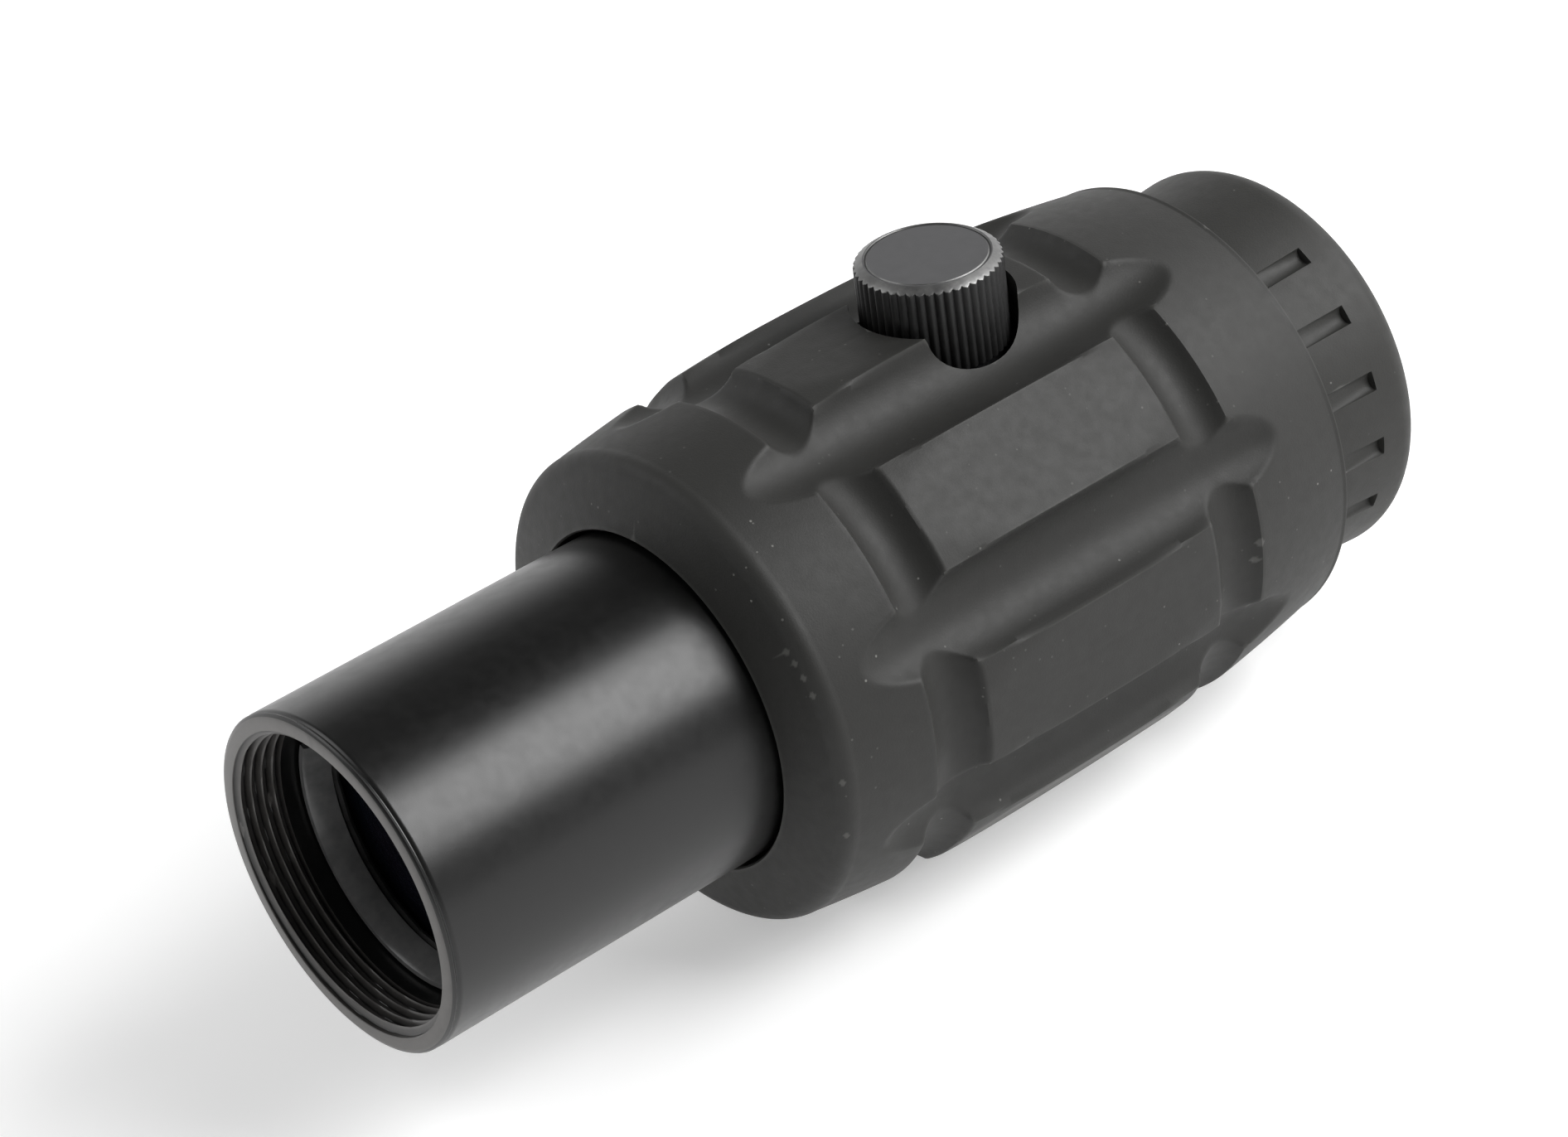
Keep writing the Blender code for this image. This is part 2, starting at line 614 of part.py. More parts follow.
def build_diopter_ring(parts, cutters, axes, materials):
    """The grip ring, slotted round its front and tapped for two lock screws."""
    optical = axes["optical"]
    ring = turned("diopter_ring", diopter_ring_outline(), parts, optical,
                  material=materials["grip"], segments=BODY_SEGMENTS)
    slot_length = GRIP_SLOT_END - RING_FRONT + 1.0 * MM
    slot_depth = 3.0 * MM
    slot_mesh = box_mesh("grip_slot", (slot_depth, GRIP_SLOT_WIDTH, slot_length))
    half_count = GRIP_SLOTS_PER_GROUP // 2
    degrees_up = [middle + step * GRIP_SLOT_PITCH for middle in GRIP_SLOT_GROUPS
                  for step in range(-half_count, half_count + 1)]
    for index, degrees in enumerate(degrees_up):
        angle = math.pi - math.radians(degrees)
        reach = GRIP_SLOT_FLOOR + 0.5 * slot_depth
        place = (reach * math.cos(angle), reach * math.sin(angle),
                 GRIP_SLOT_END - 0.5 * slot_length)
        slot = new_object("grip_slot_cutter_%d" % index, slot_mesh, cutters, optical, place,
                          (0.0, 0.0, angle), None)
        cut(ring, slot)
    for number, degrees in enumerate(LOCK_SCREW_ANGLES, start=1):
        tilt = -math.radians(degrees)
        axis = axis_empty("lock_screw_axis_%d" % number,
                          (LOCK_SCREW_STATION - PAD_STATION, 0.0, AXIS_HEIGHT),
                          (tilt, 0.0, 0.0))
        hole = turned("lock_hole_cutter_%d" % number,
                      rod_outline(LOCK_SCREW_RADIUS + GAP, 14.0 * MM), cutters, axis,
                      at=9.0 * MM, segments=PIN_SEGMENTS, solid=True)
        cut(ring, hole)
        turned("ring_lock_screw_%d" % number, rod_outline(LOCK_SCREW_RADIUS, 5.5 * MM), parts,
               axis, at=CELL_NECK_RADIUS + GAP, material=materials["steel"],
               segments=PIN_SEGMENTS, solid=True)


def build_eyepiece(parts, axes, materials):
    """Fixed eyepiece tube and the lens cell that the ring screws in and out."""
    optical = axes["optical"]
    tube_length = EYE_TUBE_REAR - EYE_TUBE_FRONT
    turned("eyepiece_tube", ring_outline(EYE_TUBE_BORE, CHAMBER_RADIUS - GAP, tube_length),
           parts, optical, at=EYE_TUBE_FRONT, material=materials["anodised"],
           segments=BODY_SEGMENTS)
    cell = [
        (CELL_RADIUS, CELL_FRONT),
        (CELL_RADIUS, 95.4 * MM),
        (CELL_NECK_RADIUS, 95.4 * MM),
        (CELL_NECK_RADIUS, 97.0 * MM),
        (CELL_RADIUS, 97.0 * MM),
        (CELL_RADIUS, 102.0 * MM),
        (CELL_NECK_RADIUS, 102.0 * MM),
        (CELL_NECK_RADIUS, CELL_REAR),
        (CELL_BORE_RADIUS, CELL_REAR),
        (CELL_BORE_RADIUS, 93.0 * MM),
        (9.0 * MM, 93.0 * MM),
        (9.0 * MM, CELL_FRONT),
    ]
    turned("eyepiece_cell", cell, parts, optical, material=materials["anodised"],
           segments=CAP_SEGMENTS)
    turned("diopter_seal", torus_outline(12.0 * MM, 0.42 * MM), parts, optical, at=96.2 * MM,
           material=materials["seal"], segments=CAP_SEGMENTS)
    turned("eye_front_lens", lens_outline(EYE_LENS_RADIUS, 3.0 * MM, 0.6 * MM, 0.6 * MM),
           parts, optical, at=93.4 * MM, material=materials["glass"], solid=True)
    turned("eye_lens_spacer", ring_outline(8.7 * MM, EYE_LENS_RADIUS, 1.6 * MM), parts,
           optical, at=96.8 * MM, material=materials["anodised"])
    turned("eye_rear_lens", lens_outline(EYE_LENS_RADIUS, 3.2 * MM, 0.4 * MM, 0.8 * MM),
           parts, optical, at=98.8 * MM, material=materials["glass"], solid=True)
    turned("eyepiece_retaining_ring", ring_outline(8.6 * MM, EYE_LENS_RADIUS, 1.8 * MM),
           parts, optical, at=102.4 * MM, material=materials["anodised"],
           segments=CAP_SEGMENTS)


# ---------------------------------------------------------------- assembly

def build_axes():
    """Empties on the optical axis, the turret axes, the pivot axes and the spring."""
    lip = (-PAD_STATION, 0.0, AXIS_HEIGHT)
    turret = (TURRET_STATION - PAD_STATION, 0.0, AXIS_HEIGHT)
    pivot = (PIVOT_STATION - PAD_STATION, 0.0, AXIS_HEIGHT)
    quarter = 0.5 * math.pi
    return {
        "optical": axis_empty("optical_axis", lip, (0.0, quarter, 0.0)),
        "elevation": axis_empty("elevation_axis", turret),
        "windage": axis_empty("windage_axis", turret, (-quarter, 0.0, 0.0)),
        "pivot_across": axis_empty("pivot_axis_across", pivot, (-quarter, 0.0, 0.0)),
        "pivot_upright": axis_empty("pivot_axis_upright", pivot),
        "spring": axis_empty("spring_axis", turret, (SPRING_ANGLE, 0.0, 0.0)),
    }


def build_materials():
    """One plain surface for each kind of piece."""
    return {
        "anodised": principled("black_anodised", (0.012, 0.012, 0.013), 0.34, 0.8),
        "cap": principled("cap_anodised", (0.015, 0.015, 0.016), 0.38, 0.8),
        "rubber": principled("armor_rubber", (0.045, 0.046, 0.042), 0.72),
        "grip": principled("grip_rubber", (0.035, 0.036, 0.033), 0.66),
        "seal": principled("seal_rubber", (0.01, 0.01, 0.01), 0.6),
        "glass": principled("coated_glass", (0.82, 0.88, 0.86), 0.02, 0.0, 1.0),
        "brass": principled("brass", (0.55, 0.40, 0.17), 0.35, 1.0),
        "steel": principled("spring_steel", (0.45, 0.45, 0.46), 0.3, 1.0),
    }


def main():
    """Build the whole scope."""
    clear_scene()
    parts = new_collection("finder_scope")
    cutters = new_collection("cutters")
    axes = build_axes()
    materials = build_materials()
    build_main_tube(parts, cutters, axes, materials)
    build_armor(parts, cutters, axes, materials)
    build_objective(parts, axes, materials)
    for side in ("elevation", "windage"):
        build_turret(side, parts, cutters, axes, materials)
    pin_cutter = build_gimbal(parts, cutters, axes, materials)
    build_erector(parts, axes, materials, pin_cutter)
    build_bias_spring(parts, cutters, axes, materials)
    build_diopter_ring(parts, cutters, axes, materials)
    build_eyepiece(parts, axes, materials)
    for cutter in cutters.objects:
        cutter.hide_render = True
        cutter.display_type = "WIRE"
    finish_meshes(parts)


main()
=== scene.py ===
import json
import math

import bmesh
import bpy
import numpy as np
from mathutils import Matrix, Vector


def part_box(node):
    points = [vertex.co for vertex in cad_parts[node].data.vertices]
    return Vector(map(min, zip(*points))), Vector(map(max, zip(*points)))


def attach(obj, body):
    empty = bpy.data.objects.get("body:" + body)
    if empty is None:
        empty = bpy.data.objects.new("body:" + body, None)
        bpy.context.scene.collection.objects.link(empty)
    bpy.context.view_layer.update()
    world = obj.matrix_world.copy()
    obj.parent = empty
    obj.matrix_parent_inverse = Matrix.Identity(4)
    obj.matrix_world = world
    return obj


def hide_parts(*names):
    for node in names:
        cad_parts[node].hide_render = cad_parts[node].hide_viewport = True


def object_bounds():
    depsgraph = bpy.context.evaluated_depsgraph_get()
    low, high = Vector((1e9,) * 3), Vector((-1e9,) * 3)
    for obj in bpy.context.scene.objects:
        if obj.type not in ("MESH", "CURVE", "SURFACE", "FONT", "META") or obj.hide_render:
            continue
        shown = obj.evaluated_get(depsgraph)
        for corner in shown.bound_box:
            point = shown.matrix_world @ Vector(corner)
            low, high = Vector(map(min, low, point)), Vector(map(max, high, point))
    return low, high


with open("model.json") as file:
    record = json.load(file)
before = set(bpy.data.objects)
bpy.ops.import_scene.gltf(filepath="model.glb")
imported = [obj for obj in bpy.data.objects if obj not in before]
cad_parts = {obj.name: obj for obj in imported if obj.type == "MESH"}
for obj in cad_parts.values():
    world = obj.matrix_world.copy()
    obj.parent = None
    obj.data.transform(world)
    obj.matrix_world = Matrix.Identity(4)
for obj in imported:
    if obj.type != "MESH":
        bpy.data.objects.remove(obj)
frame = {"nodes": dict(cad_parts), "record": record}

CAD_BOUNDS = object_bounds()
MM = 0.001
TAU = 2.0 * math.pi

# ---------------------------------------------------------------- places, from the frame
TUBE_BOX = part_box("main_tube")
ARMOR_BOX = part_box("rubber_armor")
RING_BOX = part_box("diopter_ring")
CAP_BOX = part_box("elevation_cap")
LIP_X = TUBE_BOX[0][0]
AXIS_Z = 0.5 * (RING_BOX[0][2] + RING_BOX[1][2])
ARMOR_FRONT = ARMOR_BOX[0][0] - LIP_X
ARMOR_REAR = ARMOR_BOX[1][0] - LIP_X
RING_FRONT = RING_BOX[0][0] - LIP_X
RING_REAR = RING_BOX[1][0] - LIP_X
TURRET_STATION = 0.5 * (CAP_BOX[0][0] + CAP_BOX[1][0]) - LIP_X
CAP_BOTTOM = CAP_BOX[0][2] - AXIS_Z
CAP_TOP = CAP_BOX[1][2] - AXIS_Z
CAP_RADIUS = 0.5 * (CAP_BOX[1][0] - CAP_BOX[0][0])

# ---------------------------------------------------------------- sizes of the fine surface
SHARP_ANGLE = 35.0                 # degrees between faces above which an edge stays sharp

TUBE_RADIUS = 15.0 * MM
MOUTH_RADIUS = 13.5 * MM
LIGHTENED_MOUTH_DEPTH = 6.5 * MM             # how far in the mouth's lighter copy of the anodising reaches: painted light
LIP_PROFILE = ((0.50, 0.0), (0.26, 0.07), (0.08, 0.18), (0.02, 0.28), (0.05, 0.36),
               (0.15, 0.47), (0.16, 0.56), (0.06, 0.68), (0.0, 0.80))   # depth, station, mm
THREAD_PITCH = 1.05 * MM
THREAD_DEPTH = 0.62 * MM
THREAD_PHASE = 0.35                # turns, so that the first crest sits just inside the lip
THREAD_START = 0.1 * MM
THREAD_END = 4.2 * MM
THREAD_FADE = 0.3 * MM             # run-in and run-out at the thread's ends
THREAD_ROWS = 72
THREAD_SEGMENTS = 200
CREST_CAP = 1.10                   # above 1 it makes the crest flat-topped
CREST_SPREAD = 0.26                # turns from the crest's middle to its foot
BORE_RADIUS = 12.9 * MM
BORE_END = 17.4 * MM
THROAT_RADIUS = 11.0 * MM
TUBE_END = 36.5 * MM
HOUSING_START = 40.0 * MM
HOUSING_RADIUS = 18.2 * MM
HOUSING_BORE = 14.6 * MM
HOUSING_END = 92.6 * MM
TURRET_BORE_RADIUS = 4.8 * MM
TURRET_BORE_LOW = 8.0 * MM
TURRET_SEAT_RADIUS = 6.9 * MM
TURRET_SEAT_LOW = 17.3 * MM
TURRET_CUT_HIGH = 24.0 * MM

RETAINER_SEGMENTS = 128
NOTCH_SIZE = (1.2 * MM, 40.0 * MM, 1.3 * MM)
NOTCH_ANGLE = math.radians(28.0)
LENS_SEGMENTS = 96
LENS_STEPS = 14

ARMOR_RADIUS = 23.45 * MM
BARREL_DROP = 2.8                  # radius lost per square metre of distance from the middle
PAD_STATION = -LIP_X
PANEL_FLAT = AXIS_Z - ARMOR_BOX[0][2]
PANEL_CROWN = 0.15                 # each moulded panel is very slightly domed, per metre
PANEL_COUNT = 8
RIDGE_RADIUS = 20.0 * MM           # outer edge of the conical front face
RIDGE_SETBACK = 1.25 * MM
CORNER_SETBACK = 1.6 * MM
SHOULDER_LENGTH = 3.0 * MM
FACE_SHARES = (0.12, 0.5, 0.9)     # rows across the front face
SHOULDER_ROWS = 16
ARMOR_ROWS = 280
ARMOR_SEGMENTS = 576
ARMOR_MOUTH_RADIUS = 15.4 * MM
ARMOR_BORE = 18.5 * MM
RING_GROOVE_STATIONS = (46.3 * MM, 78.4 * MM)
RING_GROOVE_RADIUS = 3.1 * MM
RING_GROOVE_HALF_WIDTH = 2.75 * MM
LONG_GROOVE_STATION = 62.1 * MM
LONG_GROOVE_RADIUS = 4.6 * MM
LONG_GROOVE_OFFSET = 24.9 * MM
LONG_GROOVE_HALF_LENGTH = 26.5 * MM
PANEL_BLEND = 0.12 * MM            # rounding where a panel meets the barrel
GROOVE_BLEND = 0.22 * MM
CAP_HOLE_RADIUS = 7.1 * MM
CAP_HOLE_LOW = 12.0 * MM
CAP_HOLE_HIGH = 30.0 * MM
CUTTER_SEGMENTS = 96

KNURL_COUNT = 48
KNURL_DEPTH = 0.24 * MM
KNURL_STEPS = (0.0, 0.14, 0.28, 0.40, 0.5, 0.60, 0.72, 0.86)   # samples in one tooth
CAP_BEVEL_HEIGHT = 0.56 * MM
CAP_BEVEL_ROWS = 10
CAP_FACE_RADIUS = 5.45 * MM
CAP_CAVITY_RADIUS = 5.65 * MM
CAP_SOCKET_RADIUS = 4.55 * MM
CAP_SOCKET_LOW = 20.0 * MM
CAP_SOCKET_HIGH = 23.6 * MM

GRIP_RADIUS = 18.3 * MM
GRIP_FRONT_RADIUS = 17.4 * MM
GRIP_ROUNDING = 2.4 * MM
SLOT_PITCH = math.radians(20.0)
SLOT_GROUPS = (math.radians(-73.0), math.radians(107.0))
SLOTS_PER_GROUP = 5
SLOT_END = 100.7 * MM
SLOT_HALF_WIDTH = 0.9 * MM
SLOT_DEPTH_FRONT = 0.08 * MM
SLOT_DEPTH_WALL = 0.70 * MM

# ---------------------------------------------------------------- studio
SWEEP_BRIGHTNESS = 1.35
DIM_BRIGHTNESS = 0.16
CEILING_BRIGHTNESS = 0.12
SWEEP_LOW = 0.12                   # height on the unit sky where the sweep starts to darken
SWEEP_HIGH = 0.72
SWEEP_REACH = 0.9                  # how far round the horizon the brightness keeps changing
BRIGHT_SIDE = (0.64, 0.77, 0.0)
FLOOR_HALF_SIZE = 3.0
FLOOR_GLOW = 0.38                  # painted light: the paper glows by its own emission, less so towards the camera
FLOOR_NEAR = -0.22
FLOOR_FAR = -0.04
LIGHT_TARGET = (0.0, 0.0, 0.02)
SOFTBOXES = (                      # name, place, size, watts
    ("softbox_key", (0.30, -0.37, 0.465), (0.42, 0.42), 4.3),
    ("softbox_far", (-0.42, 0.40, 0.56), (0.45, 0.45), 1.3),
    ("softbox_eye", (0.55, -0.10, 0.42), (0.40, 0.30), 0.9),
)

CAMERA_AZIMUTH = math.radians(-36.99)
CAMERA_ELEVATION = math.radians(32.24)
CAMERA_ROLL = math.radians(-7.8)
CAMERA_DISTANCE = 0.383
CAMERA_TARGET = (LIP_X + 50.46 * MM, 0.07 * MM, AXIS_Z + 0.53 * MM)
CAMERA_SENSOR = 36.0
CAMERA_LENS = 104.65
CAMERA_SHIFT = (-0.0196, 0.0238)


# ---------------------------------------------------------------- mesh helpers

def smooth_min(a, b, width):
    """Lower of two fields, rounded where they cross."""
    overlap = np.maximum(width - np.abs(a - b), 0.0) / width
    return np.minimum(a, b) - overlap * overlap * width * 0.25


def even_angles(count):
    """Angles spaced evenly round a full turn."""
    return np.arange(count) * TAU / count


def stations_of(node):
    """Front and rear stations of a CAD node's box."""
    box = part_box(node)
    return box[0][0] - LIP_X, box[1][0] - LIP_X


def build_mesh(name, verts, faces, smooth_angle):
    """A mesh object from arrays, turned to face outwards and shaded by angle."""
    mesh = bpy.data.meshes.new(name)
    mesh.from_pydata(verts, [], faces)
    mesh.validate()
    shape = bmesh.new()
    shape.from_mesh(mesh)
    bmesh.ops.recalc_face_normals(shape, faces=shape.faces)
    shape.to_mesh(mesh)
    shape.free()
    mesh.shade_smooth()
    mesh.set_sharp_from_angle(angle=math.radians(smooth_angle))
    obj = bpy.data.objects.new(name, mesh)
    bpy.context.scene.collection.objects.link(obj)
    return obj


def turned(name, outline, angles, radius_at=None, axis="optical", closed=True,
           smooth_angle=SHARP_ANGLE):
    """Turn (radius, station) points about an axis.

    radius_at(angles, station, radii) may reshape each ring of points.
    A closed outline is a ring section; an open one starts and ends on the axis.
    """
    angles = np.asarray(angles)
    count = len(angles)
    verts = []
    rings = []
    for radius, station in outline:
        if radius < 1e-7:
            rings.append([len(verts)])
            verts.append(place(axis, np.array([0.0]), 0.0, station)[0])
            continue
        radii = np.full(count, radius)
        if radius_at is not None:
            radii = radius_at(angles, station, radii)
        rings.append(list(range(len(verts), len(verts) + count)))
        verts.extend(place(axis, angles, radii, station))
    faces = []
    following = rings[1:] + rings[:1] if closed else rings[1:]
    for low, high in zip(rings, following):
        for i in range(count):
            j = (i + 1) % count
            if len(low) == 1 and len(high) > 1:
                faces.append((low[0], high[j], high[i]))
            elif len(high) == 1 and len(low) > 1:
                faces.append((low[i], low[j], high[0]))
            elif len(low) > 1:
                faces.append((low[i], low[j], high[j], high[i]))
    return build_mesh(name, verts, faces, smooth_angle)


def place(axis, angles, radii, station):
    """World points at a station and angle; the angle runs from up (+Z) towards +Y."""
    side = radii * np.sin(angles)
    up = radii * np.cos(angles)
    along = np.full(len(angles), station)
    if axis == "optical":
        points = np.stack([LIP_X + along, side, AXIS_Z + up], axis=1)
    elif axis == "elevation":
        points = np.stack([LIP_X + TURRET_STATION + up, side, AXIS_Z + along], axis=1)
    else:
        points = np.stack([LIP_X + TURRET_STATION + up, along, AXIS_Z + side], axis=1)
    return [tuple(p) for p in points]


def arc(centre, radius, start, end, steps):
    """Points on an arc of an outline, angles in degrees from the radius direction."""
    points = []
    for step in range(steps + 1):
        a = math.radians(start + (end - start) * step / steps)
        points.append((centre[0] + radius * math.cos(a), centre[1] + radius * math.sin(a)))
    return points


def cylinder_cutter(name, axis, radius, low, high):
    """A plain cylinder on a turret axis for a boolean cut."""
    outline = [(0.0, low), (radius, low), (radius, high), (0.0, high)]
    return turned(name, outline, even_angles(CUTTER_SEGMENTS), axis=axis, closed=False)


def subtract(target, cutters):
    """Cut holes in a mesh and keep the result."""
    for cutter in cutters:
        boolean = target.modifiers.new(cutter.name, "BOOLEAN")
        boolean.solver = "EXACT"
        boolean.operation = "DIFFERENCE"
        boolean.object = cutter
    bpy.context.view_layer.update()
    depsgraph = bpy.context.evaluated_depsgraph_get()
    mesh = bpy.data.meshes.new_from_object(target.evaluated_get(depsgraph))
    target.modifiers.clear()
    target.data = mesh
    for cutter in cutters:
        bpy.data.objects.remove(cutter, do_unlink=True)
    mesh.materials.clear()
    mesh.polygons.foreach_set("material_index", [0] * len(mesh.polygons))
    mesh.shade_smooth()
    mesh.set_sharp_from_angle(angle=math.radians(SHARP_ANGLE))


# ---------------------------------------------------------------- material helpers

class Nodes:
    """Short names for building a node material."""

    def __init__(self, name, color, roughness, metallic=0.0):
        self.material = bpy.data.materials.new(name)
        self.material.use_nodes = True
        self.tree = self.material.node_tree
        self.shader = self.tree.nodes["Principled BSDF"]
        self.shader.inputs["Base Color"].default_value = (*color, 1.0)
        self.shader.inputs["Roughness"].default_value = roughness
        self.shader.inputs["Metallic"].default_value = metallic
        self.coords = self.tree.nodes.new("ShaderNodeTexCoord").outputs["Object"]

    def node(self, kind, **values):
        """Add a node and set its inputs by name."""
        made = self.tree.nodes.new(kind)
        for key, value in values.items():
            made.inputs[key.replace("_", " ")].default_value = value
        return made

    def link(self, source, target):
        """Join two sockets."""
        self.tree.links.new(source, target)

    def noise(self, scale, detail=4.0, roughness=0.5):
        """A noise value between 0 and 1, with the scale per metre."""
        made = self.node("ShaderNodeTexNoise", Scale=scale, Detail=detail, Roughness=roughness)
        self.link(self.coords, made.inputs["Vector"])
        return made.outputs["Fac"]

    def ramp(self, value, low, high, start=0.0, end=1.0):
        """Map a value range onto another, clamped."""
        made = self.tree.nodes.new("ShaderNodeMapRange")
        made.inputs["From Min"].default_value = low
        made.inputs["From Max"].default_value = high
        made.inputs["To Min"].default_value = start
        made.inputs["To Max"].default_value = end
        self.link(value, made.inputs["Value"])
        return made.outputs["Result"]

    def math(self, operation, a, b):
        """Arithmetic on two values, either of which may be a number."""
        made = self.tree.nodes.new("ShaderNodeMath")
        made.operation = operation
        for socket, value in zip(made.inputs, (a, b)):
            if isinstance(value, (int, float)):
                socket.default_value = value
            else:
                self.link(value, socket)
        return made.outputs["Value"]

    def mix(self, factor, a, b):
        """Mix two colours, each a tuple or a socket."""
        made = self.tree.nodes.new("ShaderNodeMix")
        made.data_type = "RGBA"
        self.link(factor, made.inputs["Factor"])
        for socket, value in ((made.inputs["A"], a), (made.inputs["B"], b)):
            if isinstance(value, tuple):
                socket.default_value = (*value, 1.0)
            else:
                self.link(value, socket)
        return made.outputs["Result"]

    def edges(self, low, high):
        """How convex the surface is, from 0 to 1."""
        geometry = self.tree.nodes.new("ShaderNodeNewGeometry")
        return self.ramp(geometry.outputs["Pointiness"], low, high)

    def bump(self, height, strength, distance):
        """Feed a height to the shader's normal."""
        made = self.node("ShaderNodeBump", Strength=strength, Distance=distance)
        self.link(height, made.inputs["Height"])
        self.link(made.outputs["Normal"], self.shader.inputs["Normal"])

    def color(self, source):
        """Feed the base colour."""
        self.link(source, self.shader.inputs["Base Color"])

    def rough(self, source):
        """Feed the roughness."""
        self.link(source, self.shader.inputs["Roughness"])


def dust(nodes, density, size, scale):
    """Sparse pale specks: small spots in some cells of a Voronoi pattern."""
    cells = nodes.node("ShaderNodeTexVoronoi", Scale=scale, Randomness=1.0)
    nodes.link(nodes.coords, cells.inputs["Vector"])
    spot = nodes.ramp(cells.outputs["Distance"], size, size * 0.5)
    split = nodes.tree.nodes.new("ShaderNodeSeparateColor")
    nodes.link(cells.outputs["Color"], split.inputs["Color"])
    chosen = nodes.math("LESS_THAN", split.outputs["Red"], density)
    return nodes.math("MULTIPLY", spot, chosen)


def rubber(name, color, dust_density=0.06):
    """Matte moulded rubber: mottled, softly grained, with a little pale dust."""
    nodes = Nodes(name, color, 0.7)
    light = tuple(c * 1.10 for c in color)
    mottle = nodes.ramp(nodes.noise(420.0, 6.0, 0.65), 0.35, 0.68)
    base = nodes.mix(mottle, color, light)
    # pale convex edges: partly rubbed wear, partly a painted edge highlight
    wear_and_edge_highlight = nodes.math("MULTIPLY", nodes.edges(0.53, 0.62), 0.55)
    base = nodes.mix(wear_and_edge_highlight, base, (0.12, 0.12, 0.112))
    clumps = nodes.ramp(nodes.noise(110.0, 2.0), 0.52, 0.66)
    specks = dust(nodes, dust_density, 0.20, 1500.0)
    specks = nodes.math("MULTIPLY", specks, nodes.math("ADD", clumps, 0.25))
    base = nodes.mix(nodes.math("MULTIPLY", specks, 0.45), base, (0.30, 0.30, 0.28))
    nodes.color(base)
    nodes.rough(nodes.ramp(nodes.noise(900.0, 3.0), 0.3, 0.7, 0.55, 0.61))
    nodes.bump(nodes.noise(5200.0, 3.0, 0.6), 0.25, 0.00006)
    nodes.shader.inputs["Specular IOR Level"].default_value = 0.42
    return nodes.material


def anodised(name, color=(0.0035, 0.0035, 0.0034), rough=(0.29, 0.34), wear=0.25, hollow=1.0):
    """Satin black anodised aluminium: fine blasted grain, paler on its edges.

    hollow scales the colour in the concave places, as painted shade.
    """
    nodes = Nodes(name, color, 0.32)
    cloud = nodes.ramp(nodes.noise(900.0, 4.0), 0.3, 0.7)
    base = nodes.mix(cloud, color, tuple(c * 1.3 for c in color))
    # painted shade: the colour is darkened in the concave places
    if hollow < 1.0:
        crest = nodes.edges(0.46, 0.54)
        base = nodes.mix(crest, tuple(c * hollow for c in color), base)
    scratch = nodes.ramp(nodes.noise(1600.0, 4.0, 0.7), 0.40, 0.62)
    worn = nodes.math("MULTIPLY", nodes.edges(0.56, 0.66), scratch)
    worn = nodes.math("MULTIPLY", worn, wear)
    base = nodes.mix(worn, base, (0.42, 0.42, 0.42))
    nodes.color(base)
    nodes.rough(nodes.ramp(nodes.noise(900.0, 3.0), 0.3, 0.7, rough[0], rough[1]))
    nodes.bump(nodes.noise(9000.0, 2.0, 0.6), 0.18, 0.00002)
    return nodes.material


def bright_edge(name):
    """Bare aluminium where the black has worn off, with turning marks."""
    nodes = Nodes(name, (0.20, 0.20, 0.20), 0.4, 0.85)
    streak = nodes.ramp(nodes.noise(1400.0, 4.0, 0.6), 0.3, 0.75)
    nodes.color(nodes.mix(streak, (0.15, 0.15, 0.15), (0.22, 0.22, 0.215)))
    nodes.rough(nodes.ramp(nodes.noise(1500.0, 3.0), 0.3, 0.7, 0.36, 0.46))
    nodes.bump(nodes.noise(6000.0, 3.0), 0.2, 0.00003)
    return nodes.material


def machined(name, color, roughness):
    """Small turned metal pieces: fine marks and a little tarnish."""
    nodes = Nodes(name, color, roughness, 1.0)
    tarnish = nodes.ramp(nodes.noise(500.0, 4.0), 0.35, 0.7)
    nodes.color(nodes.mix(tarnish, color, tuple(c * 0.7 for c in color)))
    nodes.rough(nodes.ramp(nodes.noise(1200.0, 3.0), 0.3, 0.7, roughness * 0.8, roughness * 1.3))
    nodes.bump(nodes.noise(4000.0, 2.0, 0.5), 0.15, 0.00002)
    return nodes.material


def coated_glass(name):
    """Lens glass seen against a black interior: dark, with a faint coating tint."""
    nodes = Nodes(name, (0.006, 0.009, 0.011), 0.03)
    film = nodes.ramp(nodes.noise(60.0, 2.0), 0.35, 0.65)
    nodes.color(nodes.mix(film, (0.004, 0.008, 0.012), (0.012, 0.008, 0.014)))
    nodes.rough(nodes.ramp(nodes.noise(1400.0, 3.0), 0.4, 0.7, 0.02, 0.06))
    nodes.shader.inputs["Coat Weight"].default_value = 0.6
    nodes.shader.inputs["Coat Roughness"].default_value = 0.02
    return nodes.material


def floor_material():
    """Pale paper that glows by its own emission, less so towards the camera: painted light."""
    nodes = Nodes("floor_paper", (0.86, 0.86, 0.86), 0.9)
    shade = nodes.ramp(nodes.noise(12.0, 3.0), 0.3, 0.7)
    nodes.color(nodes.mix(shade, (0.85, 0.85, 0.85), (0.88, 0.88, 0.88)))
    nodes.shader.inputs["Specular IOR Level"].default_value = 0.2
    nodes.shader.inputs["Emission Color"].default_value = (1.0, 1.0, 1.0, 1.0)
    split = nodes.tree.nodes.new("ShaderNodeSeparateXYZ")
    nodes.link(nodes.coords, split.inputs["Vector"])
    # painted light: the floor's glow ramps up away from the camera
    glow = nodes.ramp(split.outputs["Y"], FLOOR_NEAR, FLOOR_FAR, 0.0, FLOOR_GLOW)
    nodes.link(glow, nodes.shader.inputs["Emission Strength"])
    return nodes.material


# ---------------------------------------------------------------- armour

def barrel_radius(station):
    """Smooth barrel curve of the armour."""
    return ARMOR_RADIUS - BARREL_DROP * (station - PAD_STATION) ** 2


